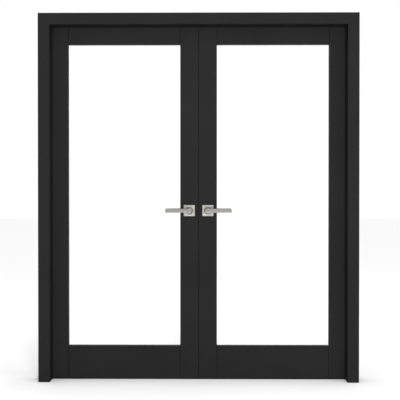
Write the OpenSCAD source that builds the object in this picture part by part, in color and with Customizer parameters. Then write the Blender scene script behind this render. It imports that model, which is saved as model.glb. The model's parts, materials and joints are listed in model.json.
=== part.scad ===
// French doors: two glazed leaves hung in a rebated frame, with casings on both faces of the wall.
// X runs across the doorway, Y from the stop side to the hinge side, Z up. The origin is on the floor,
// at mid width and mid depth. Shapes are drawn on the +X side, and the left ones are their mirror image.

/* [Doorway] */
// Clear width between the two side stops
clear_w = 1690; // [1300:1:2200]
// Clear height from the floor to the head stop
clear_h = 2030; // [1800:1:2500]

/* [Frame] */
// Depth of the jambs, which is the wall thickness
jamb_depth = 117; // [95:1:200]
// Thickness of the jambs at the rebate
jamb_t = 25; // [20:1:40]
// How far the stops stand out of the jambs
stop_d = 13; // [9:1:20]
// Width of the casings
casing_w = 65; // [50:1:120]
// Thickness of the casings
casing_t = 12; // [8:1:20]
// Gap between the hinge barrels and the casing on the hinge side
casing_gap = 1.5; // [1:0.5:8]

/* [Frame seal] */
// Thickness of the seal between the stops and the leaves
seal_t = 2.7; // [1.5:0.1:5]
// Play between the seal and the closed leaves
seal_play = 0.3; // [0.2:0.1:1]
// How far the seal shows past the stops
seal_show = 5; // [0:0.5:6]
// Width of the kerf that grips the seal
kerf_w = 3; // [2:0.5:4]
// Depth of the kerf that grips the seal
kerf_d = 8; // [5:1:12]

/* [Leaves] */
// Thickness of the leaves
leaf_t = 40; // [35:1:55]
// Width of the stiles
stile_w = 104; // [95:1:150]
// Height of the top rail
top_rail_h = 111; // [80:1:200]
// Height of the bottom rail
bottom_rail_h = 186; // [110:1:300]
// Gap between a leaf and its jamb, and between a leaf and the head
edge_gap = 3; // [2:0.5:4]
// Gap between the two leaves
meeting_gap = 3; // [3:0.5:6]
// Gap between the leaves and the floor
floor_gap = 8; // [4:1:20]
// Thickness of the seal fins between the two leaves
fin_t = 2; // [1:0.25:2.5]
// Depth of a seal fin in the edge of its leaf
fin_in = 5; // [3:0.5:8]
// Gap between the tips of the two seal fins
fin_gap = 0.12; // [0.12:0.02:0.6]
// Thickness of the lip that hangs from a leaf's bottom seal
drop_t = 3; // [2:0.5:4]
// Width of the bottom seal on the underside of its leaf
drop_w = 24; // [12:1:30]
// Gap between the bottom seals and the floor
drop_gap = 1; // [0.5:0.1:2]

/* [Glazing] */
// Thickness of the lip in front of the glass
lip_t = 15; // [8:0.5:16]
// Depth of the glazing rebate into the stiles and rails
pocket_d = 12; // [8:1:18]
// Thickness of the glass
glass_t = 6; // [4:1:8]
// Room between the edge of the glass and its rebate
glass_play = 2; // [1:0.5:4]
// Thickness of the glazing tapes
tape_t = 1.5; // [1:0.5:3]
// Length of the setting blocks under the glass
block_l = 60; // [30:5:100]

/* [Dowels] */
// Radius of the dowels
dowel_r = 6; // [4:0.5:8]
// Length of the dowels
dowel_l = 100; // [60:5:120]
// Distance between the dowels of a rail
dowel_pitch = 50; // [35:1:60]
// Radial play of the dowels
dowel_play = 0.1; // [0.05:0.05:0.3]

/* [Hinges] */
// Height of a hinge
hinge_h = 100; // [80:1:130]
// Width of a hinge plate let into the wood
plate_w = 30; // [24:1:34]
// Thickness of a hinge plate
plate_t = 2.5; // [2:0.25:3.5]
// Radius of the hinge barrel
barrel_r = 6; // [5:0.25:6.5]
// Gap between the back of the leaf and the hinge barrel
barrel_gap = 1; // [0.75:0.25:4]
// Number of knuckles on a barrel
knuckles = 5; // [5:2:7]
// Gap between two knuckles
knuckle_gap = 0.3; // [0.2:0.1:0.6]
// Radius of the hinge pin
pin_r = 3; // [2.5:0.25:3.5]
// Radial play of the hinge pin
pin_play = 0.05; // [0.02:0.01:0.1]
// Radius of the pin's tips
tip_r = 5; // [4:0.5:6]
// Height of the pin's tips
tip_h = 3; // [2:0.5:6]
// Distance from the top of the leaf to the top hinge
hinge_from_top = 178; // [120:1:250]
// Distance from the bottom of the leaf to the bottom hinge
hinge_from_bottom = 280; // [150:1:350]

/* [Screws] */
// Radius of the screws
screw_r = 2; // [1.5:0.25:2.25]
// Length of the screws
screw_l = 20; // [14:1:22]
// Radius of a screw head
screw_head_r = 4; // [3:0.25:4.25]
// Height of a screw head
screw_head_h = 2; // [1.5:0.25:2.5]
// Length of the screws through the side jambs into the head
corner_screw_l = 50; // [40:1:60]
// Radius of the screws through the side jambs into the head
corner_screw_r = 2.5; // [2:0.25:3]
// Radial play of every screw
screw_play = 0.1; // [0.05:0.05:0.2]
// Radius of the wall fixing holes in the side jambs
fixing_r = 3; // [2:0.5:5]
// Height of the lowest wall fixing hole
fixing_z = 180; // [100:5:260]
// Distance of the highest wall fixing hole below the clear height
fixing_from_head = 80; // [50:5:110]
// Number of wall fixing holes in each side jamb
fixing_count = 4; // [2:1:4]

/* [Handles] */
// Height of the handles above the floor
handle_z = 974; // [850:1:1100]
// Distance from the meeting edge of a leaf to its handle
backset = 52; // [45:1:70]
// Side of the square rose
rose_w = 64; // [50:1:80]
// Thickness of the rose at its rim
rose_t = 6; // [4:0.5:10]
// Width of the round boss round the lever's neck, beyond the neck
boss_wall = 7; // [3:0.5:8]
// Height of the round boss on the rose
boss_t = 8; // [3:0.5:14]
// Radius of the lever's neck
neck_r = 10; // [8:0.5:13]
// Radial play of the neck in the rose
neck_play = 0.1; // [0.03:0.01:0.1]
// Distance from the leaf to the outer face of the lever
lever_out = 62; // [45:1:80]
// Thickness of the lever bar
lever_t = 10; // [7:0.5:14]
// Height of the lever bar
lever_h = 23; // [16:1:30]
// Distance from the handle's axis to the tip of the lever
lever_reach = 136; // [100:1:150]
// Distance from the handle's axis to the heel of the lever
lever_heel = 13.5; // [10:0.5:20]
// Side of the square spindle
spindle_w = 8; // [6:0.5:9]
// How far the spindle reaches into each lever from the leaf
spindle_in = 26; // [15:1:35]
// Play of the spindle in its sockets, across the square
spindle_play = 0.1; // [0.05:0.05:0.3]
// Distance of the rose bolts above and below the axis
rose_bolt_z = 20; // [20:0.5:24]
// How far the rose bolts reach into each rose
rose_bolt_in = 5; // [3:0.5:5]

/* [Latch and bolt] */
// How far the latch stands out of its leaf
latch_out = 2; // [1:0.25:2.25]
// Travel of the latch
latch_travel = 11; // [8:0.5:14]
// Thickness of the latch through the leaf
latch_t = 12; // [8:0.5:12]
// Height of the latch
latch_h = 20; // [14:0.5:20]
// Length of the latch inside its leaf
latch_in = 28; // [20:1:30]
// Play around the latch in its face plate
latch_play = 0.3; // [0.2:0.1:0.6]
// Wood left between the two cases and the glazing rebate
case_back = 17; // [4:1:24]
// Wall of the latch case
case_wall = 1.5; // [1:0.25:1.5]
// Room between the latch and the walls of its case
case_room = 0.5; // [0.4:0.1:1]
// Radius of the hole for the spindle in both cases
follower_r = 7; // [7:0.5:10]
// Thickness of the plates on the meeting edges
edge_plate_t = 2.5; // [2:0.25:4]
// Width of the plates on the meeting edges
edge_plate_w = 24; // [23:1:30]
// Height of the latch's face plate
face_plate_h = 70; // [60:1:90]
// Radius of the bolt rod
bolt_r = 3; // [2.5:0.25:3.25]
// Distance from the meeting edge to the middle of the bolt rod
bolt_in = 9; // [8:0.5:12]
// How far the bolt rod stands out of the top of its leaf
bolt_out = 2; // [1:0.25:2.25]
// Depth of the hole for the bolt rod above the head's rebate
bolt_hole = 15; // [10:0.5:18]
// How far the bolt rod reaches into its case
bolt_down = 8; // [5:1:12]
// Travel of the bolt rod
bolt_travel = 18; // [14:1:20]
// Radial play of the bolt rod where it is guided
bolt_play = 0.1; // [0.03:0.01:0.1]
// Height of the bolt case above the handle's axis
bolt_case_up = 60; // [50:1:80]
// Thickness of the strike plate in the head
strike_t = 2; // [1.5:0.25:3]
// Length of the strike plate in the head
strike_l = 60; // [50:1:90]

/* [Hidden] */
$fn = 48;

// Finishes
lacquer = "#2d2d2c";
nickel = "#a39e98";
rubber = "#161616";
steel = "#8d9093";
birch = "#c9a878";

// Stations across the doorway, on the +X side
stop_x = clear_w / 2;
rebate_x = stop_x + stop_d;
jamb_x = rebate_x + jamb_t;
leaf_x1 = rebate_x - edge_gap;
leaf_x0 = meeting_gap / 2;
glass_x0 = leaf_x0 + stile_w;
glass_x1 = leaf_x1 - stile_w;
handle_x = leaf_x0 + backset;
bolt_x = leaf_x0 + bolt_in;
barrel_x = rebate_x - edge_gap / 2;

// Stations up the doorway
rebate_z = clear_h + stop_d;
jamb_z = rebate_z + jamb_t;
leaf_z0 = floor_gap;
leaf_z1 = rebate_z - edge_gap;
glass_z0 = leaf_z0 + bottom_rail_h;
glass_z1 = leaf_z1 - top_rail_h;
hinge_zs = [
    leaf_z0 + hinge_from_bottom + hinge_h / 2,
    (leaf_z0 + hinge_from_bottom + leaf_z1 - hinge_from_top) / 2,
    leaf_z1 - hinge_from_top - hinge_h / 2
];

// Stations through the wall
front_y = -(casing_t + jamb_depth + max(casing_t, lever_out)) / 2;
jamb_y0 = front_y + casing_t;
jamb_y1 = jamb_y0 + jamb_depth;
leaf_y1 = jamb_y1;
leaf_y0 = leaf_y1 - leaf_t;
mid_y = (leaf_y0 + leaf_y1) / 2;
rebate_y = leaf_y0 - seal_t - seal_play;
lip_y = leaf_y0 + lip_t;
glass_y0 = lip_y + tape_t;
glass_y1 = glass_y0 + glass_t;
bead_y = glass_y1 + tape_t;
barrel_y = leaf_y1 + barrel_r + barrel_gap;

// Small values shared by mating pieces
bead_gap = 0.2;
seal_joint = 0.3;
drop_base = 2;
drop_in = 2;
case_in = stile_w - pocket_d - case_back;
case_t = latch_t + 2 * (case_room + case_wall);
case_h = latch_h + 2 * (case_room + case_wall);
knuckle_h = hinge_h / knuckles;
plate_clear = 0.5;
web_clear = 0.6;
screw_rows = 4;
near_row = 0.3;
far_row = 0.7;
neck_room = 1;
rod_room = 1;
groove_play = 0.5;
groove_w = 2 * (bolt_r + groove_play);
groove_in = bolt_in + bolt_r + groove_play;
latch_room = 7;
latch_nose = 2;
latch_hole_play = 1;
pocket_in = latch_travel + latch_room;
case_step = 2;
end_screw_in = 9;
strike_screw_in = 10;
first_edge_screw = 40;
last_edge_screw = 30;
edge_screws = 5;
cut = 1;

// Draws its children on the named side
module on_side(side) {
    if (side == "left") mirror([1, 0, 0]) children();
    else children();
}

// Draws its children on the back face of the leaf in place of the front
module on_back() {
    translate([0, 2 * mid_y, 0]) mirror([0, 1, 0]) children();
}

// A box between two corners
module span(from, to) {
    translate(from) cube(to - from);
}

// A round bar along X from x0 to x1
module bar_x(x0, x1, r) {
    translate([x0, 0, 0]) rotate([0, 90, 0]) cylinder(r = r, h = x1 - x0);
}

// A round bar along Y from y0 to y1
module bar_y(y0, y1, r) {
    translate([0, y0, 0]) rotate([-90, 0, 0]) cylinder(r = r, h = y1 - y0);
}

// An outline in X and Z, given thickness from y0 to y1
module slab(y0, y1) {
    translate([0, y1, 0]) rotate([90, 0, 0]) linear_extrude(y1 - y0) children();
}

// ---- Screws ----

// A countersunk screw whose head is flush with Z = 0 and whose point is down, or its hole with play
module screw(play = 0, l = screw_l, r = screw_r) {
    head_r = screw_head_r * r / screw_r;
    head_h = screw_head_h * r / screw_r;
    translate([0, 0, -head_h]) cylinder(r1 = r + play, r2 = head_r + play, h = head_h);
    translate([0, 0, -l - play]) cylinder(r = r + play, h = l + play);
    if (play > 0) cylinder(r = head_r + play, h = cut);
}

// A screw driven along +X from the face at x
module screw_out(x, play = 0) {
    translate([x, 0, 0]) rotate([0, -90, 0]) screw(play);
}

// A screw driven along -X from the face at x
module screw_in(x, play = 0) {
    translate([x, 0, 0]) rotate([0, 90, 0]) screw(play);
}

// Puts its children at each screw of a hinge at height 0
module at_hinge_screws() {
    for (i = [0:screw_rows - 1]) {
        row_y = leaf_y1 - plate_w * (i % 2 == 0 ? near_row : far_row);
        translate([0, row_y, hinge_h * ((i + 0.5) / screw_rows - 0.5)]) children();
    }
}

// The screws that hold one hinge to the frame, or their holes
module frame_hinge_screws(play = 0) {
    at_hinge_screws() screw_out(rebate_x, play);
}

// The screws that hold one hinge to its leaf, or their holes
module leaf_hinge_screws(play = 0) {
    at_hinge_screws() screw_in(leaf_x1, play);
}

// The screws from a side jamb into the end of the head, or their holes
module corner_screws(play = 0) {
    head_mid_z = (rebate_z + jamb_z) / 2;
    stop_run = rebate_y - jamb_y0;
    for (y = [jamb_y0 + stop_run * near_row, jamb_y0 + stop_run * far_row, mid_y])
        translate([jamb_x, y, head_mid_z]) rotate([0, 90, 0])
            screw(play, corner_screw_l, corner_screw_r);
}

// ---- Hinges ----

// A hinge plate at height 0 whose face lies between two X values, with the listed knuckles
module hinge_half(x0, x1, own) {
    plate_y1 = barrel_y - barrel_r - plate_clear;
    difference() {
        union() {
            span([x0, leaf_y1 - plate_w, -hinge_h / 2], [x1, plate_y1, hinge_h / 2]);
            for (i = own) {
                z0 = -hinge_h / 2 + i * knuckle_h + knuckle_gap / 2;
                z1 = z0 + knuckle_h - knuckle_gap;
                span([x0, plate_y1 - cut, z0], [x1, barrel_y - pin_r - web_clear, z1]);
                translate([barrel_x, barrel_y, z0]) cylinder(r = barrel_r, h = z1 - z0);
            }
        }
        translate([barrel_x, barrel_y, -hinge_h / 2 - cut])
            cylinder(r = pin_r + pin_play, h = hinge_h + 2 * cut);
    }
}

// The three hinge plates on one side of the frame, with the odd knuckles
module frame_hinges(side) {
    color(nickel) on_side(side) for (z = hinge_zs) translate([0, 0, z]) difference() {
        hinge_half(rebate_x, rebate_x + plate_t, [0:2:knuckles - 1]);
        frame_hinge_screws(screw_play);
    }
}

// The three hinge plates on one leaf, with the even knuckles
module leaf_hinges(side) {
    color(nickel) on_side(side) for (z = hinge_zs) translate([0, 0, z]) difference() {
        hinge_half(leaf_x1 - plate_t, leaf_x1, [1:2:knuckles - 2]);
        leaf_hinge_screws(screw_play);
    }
}

// The loose pins of all six hinges, each with a tip above and a tip below
module hinge_pins() {
    color(nickel) for (side = ["left", "right"]) on_side(side) for (z = hinge_zs)
        translate([barrel_x, barrel_y, z]) {
            translate([0, 0, -hinge_h / 2 - cut]) cylinder(r = pin_r, h = hinge_h + 2 * cut);
            for (up = [0, 1]) mirror([0, 0, 1 - up])
                translate([0, 0, hinge_h / 2]) cylinder(r = tip_r, h = tip_h);
        }
}

// ---- Frame ----

// The recesses for the frame's hinge plates and their screws
module frame_hinge_cuts() {
    for (z = hinge_zs) translate([0, 0, z]) {
        span([rebate_x - cut, leaf_y1 - plate_w, -hinge_h / 2],
             [rebate_x + plate_t, leaf_y1 + cut, hinge_h / 2]);
        frame_hinge_screws(screw_play);
    }
}

// The holes for the wall fixings, spread evenly up the rebate
module fixing_holes() {
    pitch = (clear_h - fixing_from_head - fixing_z) / (fixing_count - 1);
    for (i = [0:fixing_count - 1])
        translate([0, mid_y, fixing_z + i * pitch]) bar_x(rebate_x - cut, jamb_x + cut, fixing_r);
}

// A side jamb with its hinge recesses and holes
module side_jamb(side) {
    color(lacquer) on_side(side) difference() {
        span([rebate_x, jamb_y0, 0], [jamb_x, jamb_y1, jamb_z]);
        frame_hinge_cuts();
        fixing_holes();
        corner_screws(screw_play);
    }
}

// The head, fitted between the side jambs
module jamb_head() {
    color(lacquer) difference() {
        span([-rebate_x, jamb_y0, rebate_z], [rebate_x, jamb_y1, jamb_z]);
        for (side = ["left", "right"]) on_side(side) corner_screws(screw_play);
        strike_plate_body(cut);
        translate([-bolt_x, mid_y, rebate_z]) cylinder(r = bolt_r + rod_room, h = bolt_hole);
        head_strike_screws(screw_play);
    }
}

// A stop planted on a side jamb, with the kerf that grips the seal
module side_stop(side) {
    color(lacquer) on_side(side) difference() {
        span([stop_x, jamb_y0, 0], [rebate_x, rebate_y, clear_h]);
        span([rebate_x - kerf_w, rebate_y - kerf_d, -cut], [rebate_x + cut, rebate_y + cut, clear_h + cut]);
    }
}

// The stop planted on the head, resting on the side stops
module head_stop() {
    color(lacquer) difference() {
        span([-rebate_x, jamb_y0, clear_h], [rebate_x, rebate_y, rebate_z]);
        span([-jamb_x, rebate_y - kerf_d, rebate_z - kerf_w], [jamb_x, rebate_y + cut, rebate_z + cut]);
    }
}

// A casing leg with a mitre at its top end
module casing_leg(side, in_x, in_z, y0) {
    color(lacquer) on_side(side) slab(y0, y0 + casing_t)
        polygon([[in_x, 0], [in_x + casing_w, 0], [in_x + casing_w, in_z + casing_w], [in_x, in_z]]);
}

// A casing head with a mitre at each end
module casing_head(in_x, in_z, y0) {
    out_x = in_x + casing_w;
    color(lacquer) slab(y0, y0 + casing_t)
        polygon([[-in_x, in_z], [in_x, in_z], [out_x, in_z + casing_w], [-out_x, in_z + casing_w]]);
}

// The three lengths of seal in the rebate, each with a barb in its kerf
module frame_seal() {
    seal_y1 = rebate_y + seal_t;
    side_z1 = clear_h - seal_show - seal_joint;
    color(rubber) {
        for (side = ["left", "right"]) on_side(side) {
            span([stop_x - seal_show, rebate_y, 0], [rebate_x, seal_y1, side_z1]);
            span([rebate_x - kerf_w, rebate_y - kerf_d, 0], [rebate_x, seal_y1, side_z1]);
        }
        span([-rebate_x, rebate_y, clear_h - seal_show], [rebate_x, seal_y1, rebate_z]);
        span([-rebate_x, rebate_y - kerf_d, rebate_z - kerf_w], [rebate_x, seal_y1, rebate_z]);
    }
}

// The screws of the strike plate in the head, or their holes
module head_strike_screws(play = 0) {
    for (x = [-1, 1] * (strike_l / 2 - strike_screw_in))
        translate([x - bolt_x, mid_y, rebate_z]) mirror([0, 0, 1]) screw(play);
}

// The outline of the strike plate, with a margin below it when it is cut out of the head
module strike_plate_body(below = 0) {
    span([-bolt_x - strike_l / 2, mid_y - edge_plate_w / 2, rebate_z - below],
         [-bolt_x + strike_l / 2, mid_y + edge_plate_w / 2, rebate_z + strike_t]);
}

// The strike plate in the head, which takes the bolt rod
module head_strike() {
    color(nickel) difference() {
        strike_plate_body();
        translate([-bolt_x, mid_y, rebate_z - cut]) cylinder(r = bolt_r + rod_room, h = strike_t + 2 * cut);
        head_strike_screws(screw_play);
    }
}

// All the screws that stay in the frame
module frame_fasteners() {
    color(steel) {
        for (side = ["left", "right"]) on_side(side) {
            for (z = hinge_zs) translate([0, 0, z]) frame_hinge_screws();
            corner_screws();
        }
        head_strike_screws();
    }
}

// ---- Leaf joinery ----

// The glazing rebate that is cut out of the stiles and rails
module glazing_pocket() {
    span([glass_x0 - pocket_d, lip_y, glass_z0 - pocket_d],
         [glass_x1 + pocket_d, leaf_y1 + cut, glass_z1 + pocket_d]);
}

// The dowels of the rails, or their holes
module dowel_set(play = 0) {
    reach = dowel_l / 2 + play;
    top_mid = (glass_z1 + pocket_d + leaf_z1) / 2;
    bottom_mid = (leaf_z0 + glass_z0 - pocket_d) / 2;
    for (x = [glass_x0, glass_x1]) {
        for (i = [-0.5, 0.5])
            translate([0, mid_y, top_mid + i * dowel_pitch]) bar_x(x - reach, x + reach, dowel_r + play);
        for (i = [-1:1])
            translate([0, mid_y, bottom_mid + i * dowel_pitch]) bar_x(x - reach, x + reach, dowel_r + play);
    }
}

module dowels(side) {
    color(birch) on_side(side) dowel_set();
}

// The stile that carries the hinges
module hinge_stile(side) {
    color(lacquer) on_side(side) difference() {
        span([glass_x1, leaf_y0, leaf_z0], [leaf_x1, leaf_y1, leaf_z1]);
        glazing_pocket();
        dowel_set(dowel_play);
        for (z = hinge_zs) translate([0, 0, z]) {
            span([leaf_x1 - plate_t, leaf_y1 - plate_w, -hinge_h / 2],
                 [leaf_x1 + cut, leaf_y1 + cut, hinge_h / 2]);
            leaf_hinge_screws(screw_play);
        }
    }
}

// The seal fin in the meeting edge of a leaf, midway between its front and the edge plate
module seal_fin() {
    fin_y = (leaf_y0 + mid_y - edge_plate_w / 2 - fin_t) / 2;
    span([fin_gap / 2, fin_y, leaf_z0], [leaf_x0 + fin_in, fin_y + fin_t, leaf_z1]);
}

module meeting_seal(side) {
    color(rubber) on_side(side) seal_fin();
}

// The seal under a leaf: a base glued to the underside, and a lip that hangs near the floor
module bottom_seal(side) {
    drop_y = leaf_y0 + drop_in;
    color(rubber) on_side(side) translate([leaf_x0 + drop_in, 0, 0]) rotate([90, 0, 90])
        linear_extrude(leaf_x1 - leaf_x0 - 2 * drop_in) polygon([
            [drop_y, drop_gap], [drop_y + drop_t, drop_gap],
            [drop_y + drop_t, leaf_z0 - drop_base], [drop_y + drop_w, leaf_z0 - drop_base],
            [drop_y + drop_w, leaf_z0], [drop_y, leaf_z0]
        ]);
}

// The stile at the middle of the doorway, before its latch or bolt is let in
module meeting_stile_body() {
    difference() {
        span([leaf_x0, leaf_y0, leaf_z0], [glass_x0, leaf_y1, leaf_z1]);
        glazing_pocket();
        dowel_set(dowel_play);
        at_handle() bar_y(leaf_y0 - cut, leaf_y1 + cut, neck_r + neck_room);
        rose_bolts(screw_play);
        seal_fin();
    }
}

module left_meeting_stile() {
    color(lacquer) on_side("left") difference() {
        meeting_stile_body();
        left_edge_plate_body(cut);
        bolt_case_body();
        strike_pocket();
        span([leaf_x0, mid_y - groove_w / 2, handle_z],
             [leaf_x0 + groove_in, mid_y + groove_w / 2, leaf_z1 + cut]);
        left_edge_screws(screw_play);
    }
}

module right_meeting_stile() {
    color(lacquer) difference() {
        meeting_stile_body();
        face_plate_body(cut);
        latch_case_body();
        face_plate_screws(screw_play);
    }
}

// The top rail, fitted between the stiles
module top_rail(side) {
    color(lacquer) on_side(side) difference() {
        span([glass_x0, leaf_y0, glass_z1], [glass_x1, leaf_y1, leaf_z1]);
        glazing_pocket();
        dowel_set(dowel_play);
    }
}

// The bottom rail, fitted between the stiles
module bottom_rail(side) {
    color(lacquer) on_side(side) difference() {
        span([glass_x0, leaf_y0, leaf_z0], [glass_x1, leaf_y1, glass_z0]);
        glazing_pocket();
        dowel_set(dowel_play);
    }
}

// ---- Glazing ----

// The pane, smaller than its rebate all round
module glass(side) {
    rim = pocket_d - glass_play;
    color("lightblue", 0.35) on_side(side)
        span([glass_x0 - rim, glass_y0, glass_z0 - rim], [glass_x1 + rim, glass_y1, glass_z1 + rim]);
}

// One ring of glazing tape from the sight line to the edge of the glass
module tape_ring(y0) {
    rim = pocket_d - glass_play;
    difference() {
        span([glass_x0 - rim, y0, glass_z0 - rim], [glass_x1 + rim, y0 + tape_t, glass_z1 + rim]);
        span([glass_x0, y0 - cut, glass_z0], [glass_x1, y0 + tape_t + cut, glass_z1]);
    }
}

// The tapes on both faces of the glass and the two setting blocks under its edge
module glazing_seal(side) {
    block_z = glass_z0 - pocket_d;
    quarter = (glass_x1 - glass_x0) / 4;
    color(rubber) on_side(side) {
        tape_ring(lip_y);
        tape_ring(glass_y1);
        for (x = [glass_x0 + quarter, glass_x1 - quarter])
            span([x - block_l / 2, glass_y0, block_z], [x + block_l / 2, glass_y1, block_z + glass_play]);
    }
}

// The four mitred beads behind the glass, flush with the back of the leaf
module beads(side) {
    x0 = glass_x0 - pocket_d;
    x1 = glass_x1 + pocket_d;
    z0 = glass_z0 - pocket_d;
    z1 = glass_z1 + pocket_d;
    g = bead_gap;
    color(lacquer) on_side(side) slab(bead_y, leaf_y1) {
        polygon([[x0, z0 + g], [glass_x0, glass_z0 + g], [glass_x0, glass_z1 - g], [x0, z1 - g]]);
        polygon([[x1, z0 + g], [glass_x1, glass_z0 + g], [glass_x1, glass_z1 - g], [x1, z1 - g]]);
        polygon([[x0 + g, z0], [glass_x0 + g, glass_z0], [glass_x1 - g, glass_z0], [x1 - g, z0]]);
        polygon([[x0 + g, z1], [glass_x0 + g, glass_z1], [glass_x1 - g, glass_z1], [x1 - g, z1]]);
    }
}

// ---- Handles ----

// Puts its children on the handle's axis
module at_handle() {
    translate([handle_x, 0, handle_z]) children();
}

// The two bolts that pull the roses together, or their holes
module rose_bolts(play = 0) {
    for (up = [-1, 1]) translate([handle_x, 0, handle_z + up * rose_bolt_z])
        bar_y(leaf_y0 - rose_bolt_in - play, leaf_y1 + rose_bolt_in + play, screw_r + play);
}

// A square rose with a round boss on the front of the leaf
module rose_body() {
    difference() {
        at_handle() {
            span([-rose_w / 2, leaf_y0 - rose_t, -rose_w / 2], [rose_w / 2, leaf_y0, rose_w / 2]);
            bar_y(leaf_y0 - rose_t - boss_t, leaf_y0, neck_r + boss_wall);
        }
        at_handle() bar_y(leaf_y0 - rose_t - boss_t - cut, leaf_y0 + cut, neck_r + neck_play);
        rose_bolts(screw_play);
    }
}

module rose_front(side) {
    color(nickel) on_side(side) rose_body();
}

module rose_back(side) {
    color(nickel) on_side(side) on_back() rose_body();
}

// A lever on the front of the leaf: a round neck on the axis and a flat bar away from the meeting edge
module lever_body() {
    socket = spindle_w + spindle_play;
    bar_y0 = leaf_y0 - lever_out;
    at_handle() difference() {
        union() {
            bar_y(bar_y0 + lever_t / 2, leaf_y0 - cut, neck_r);
            span([-lever_heel, bar_y0, -lever_h / 2], [lever_reach, bar_y0 + lever_t, lever_h / 2]);
        }
        span([-socket / 2, leaf_y0 - spindle_in - cut, -socket / 2], [socket / 2, leaf_y0, socket / 2]);
    }
}

module lever_front(side) {
    color(nickel) on_side(side) lever_body();
}

module lever_back(side) {
    color(nickel) on_side(side) on_back() lever_body();
}

// The square spindle through the leaf that joins both levers
module spindle(side) {
    color(steel) on_side(side) at_handle()
        span([-spindle_w / 2, leaf_y0 - spindle_in, -spindle_w / 2],
             [spindle_w / 2, leaf_y1 + spindle_in, spindle_w / 2]);
}

// ---- Latch of the right leaf ----

module latch_case_body() {
    span([leaf_x0 + edge_plate_t, mid_y - case_t / 2, handle_z - case_h / 2],
         [leaf_x0 + case_in, mid_y + case_t / 2, handle_z + case_h / 2]);
}

// The hollow case in the right leaf, open towards the face plate
module latch_case() {
    in_y = case_t / 2 - case_wall;
    in_z = case_h / 2 - case_wall;
    color(steel) difference() {
        latch_case_body();
        span([leaf_x0, mid_y - in_y, handle_z - in_z],
             [leaf_x0 + case_in - case_wall, mid_y + in_y, handle_z + in_z]);
        at_handle() bar_y(leaf_y0, leaf_y1, follower_r);
    }
}

// The latch, bevelled on the face that meets the other leaf when it closes
module latch_bolt() {
    tip_x = leaf_x0 - latch_out;
    y0 = mid_y - latch_t / 2;
    y1 = mid_y + latch_t / 2;
    color(steel) translate([0, 0, handle_z - latch_h / 2]) linear_extrude(latch_h)
        polygon([[leaf_x0 + latch_in, y0], [leaf_x0 + latch_in, y1], [tip_x, y1],
                 [tip_x, y1 - latch_t / 4], [tip_x + latch_travel - latch_nose, y0]]);
}

module face_plate_body(out = 0) {
    span([leaf_x0 - out, mid_y - edge_plate_w / 2, handle_z - face_plate_h / 2],
         [leaf_x0 + edge_plate_t, mid_y + edge_plate_w / 2, handle_z + face_plate_h / 2]);
}

// The screws of the latch's face plate, or their holes
module face_plate_screws(play = 0) {
    for (z = [-1, 1] * (face_plate_h / 2 - end_screw_in))
        translate([0, mid_y, handle_z + z]) screw_out(leaf_x0, play);
}

// The face plate around the latch
module right_edge_plate() {
    hole_y = latch_t / 2 + latch_play;
    hole_z = latch_h / 2 + latch_play;
    color(nickel) difference() {
        face_plate_body();
        span([leaf_x0 - cut, mid_y - hole_y, handle_z - hole_z],
             [leaf_x0 + edge_plate_t + cut, mid_y + hole_y, handle_z + hole_z]);
        face_plate_screws(screw_play);
    }
}

// ---- Bolt of the left leaf ----

// The outline of the bolt case: a body behind the latch pocket and a nose that guides the rod
module bolt_case_body() {
    top_z = handle_z + bolt_case_up;
    y0 = mid_y - case_t / 2;
    y1 = mid_y + case_t / 2;
    span([leaf_x0 + pocket_in, y0, handle_z - case_h / 2], [leaf_x0 + case_in, y1, top_z]);
    span([leaf_x0 + edge_plate_t, y0, handle_z + case_h / 2 + case_step], [leaf_x0 + case_in, y1, top_z]);
}

// The case in the left leaf, bored for the spindle, the rose bolt and the rod
module bolt_case() {
    rod_z0 = handle_z + bolt_case_up - bolt_down - bolt_travel - rod_room;
    color(steel) on_side("left") difference() {
        bolt_case_body();
        at_handle() bar_y(leaf_y0, leaf_y1, follower_r);
        rose_bolts(2 * screw_play);
        translate([bolt_x, mid_y, rod_z0]) cylinder(r = bolt_r + bolt_play, h = bolt_case_up);
    }
}

// The room in front of the bolt case that takes the tip of the latch
module strike_pocket() {
    span([leaf_x0, mid_y - case_t / 2, handle_z - case_h / 2],
         [leaf_x0 + pocket_in + cut, mid_y + case_t / 2, handle_z + case_h / 2]);
}

// The rod that holds the left leaf to the head
module bolt_rod() {
    rod_z0 = handle_z + bolt_case_up - bolt_down;
    color(steel) on_side("left") translate([bolt_x, mid_y, rod_z0])
        cylinder(r = bolt_r, h = leaf_z1 + bolt_out - rod_z0);
}

module left_edge_plate_body(out = 0) {
    span([leaf_x0 - out, mid_y - edge_plate_w / 2, handle_z - face_plate_h / 2],
         [leaf_x0 + edge_plate_t, mid_y + edge_plate_w / 2, leaf_z1 + out]);
}

// The screws of the long edge plate, beside the rod's groove, or their holes
module left_edge_screws(play = 0) {
    side_y = edge_plate_w / 2 - screw_head_r - bead_gap;
    first_z = handle_z + bolt_case_up + first_edge_screw;
    pitch = (leaf_z1 - last_edge_screw - first_z) / (edge_screws - 1);
    for (i = [0:edge_screws - 1])
        translate([0, mid_y + side_y * (i % 2 == 0 ? 1 : -1), first_z + i * pitch]) screw_out(leaf_x0, play);
    translate([0, mid_y, handle_z - face_plate_h / 2 + end_screw_in]) screw_out(leaf_x0, play);
}

// The long edge plate, which takes the latch and covers the rod's groove
module left_edge_plate() {
    hole_y = latch_t / 2 + latch_hole_play;
    hole_z = latch_h / 2 + latch_hole_play;
    color(nickel) on_side("left") difference() {
        left_edge_plate_body();
        span([leaf_x0 - cut, mid_y - hole_y, handle_z - hole_z],
             [leaf_x0 + edge_plate_t + cut, mid_y + hole_y, handle_z + hole_z]);
        left_edge_screws(screw_play);
    }
}

// ---- Fasteners of the leaves ----

module left_fasteners() {
    color(steel) on_side("left") {
        for (z = hinge_zs) translate([0, 0, z]) leaf_hinge_screws();
        left_edge_screws();
        rose_bolts();
    }
}

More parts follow.
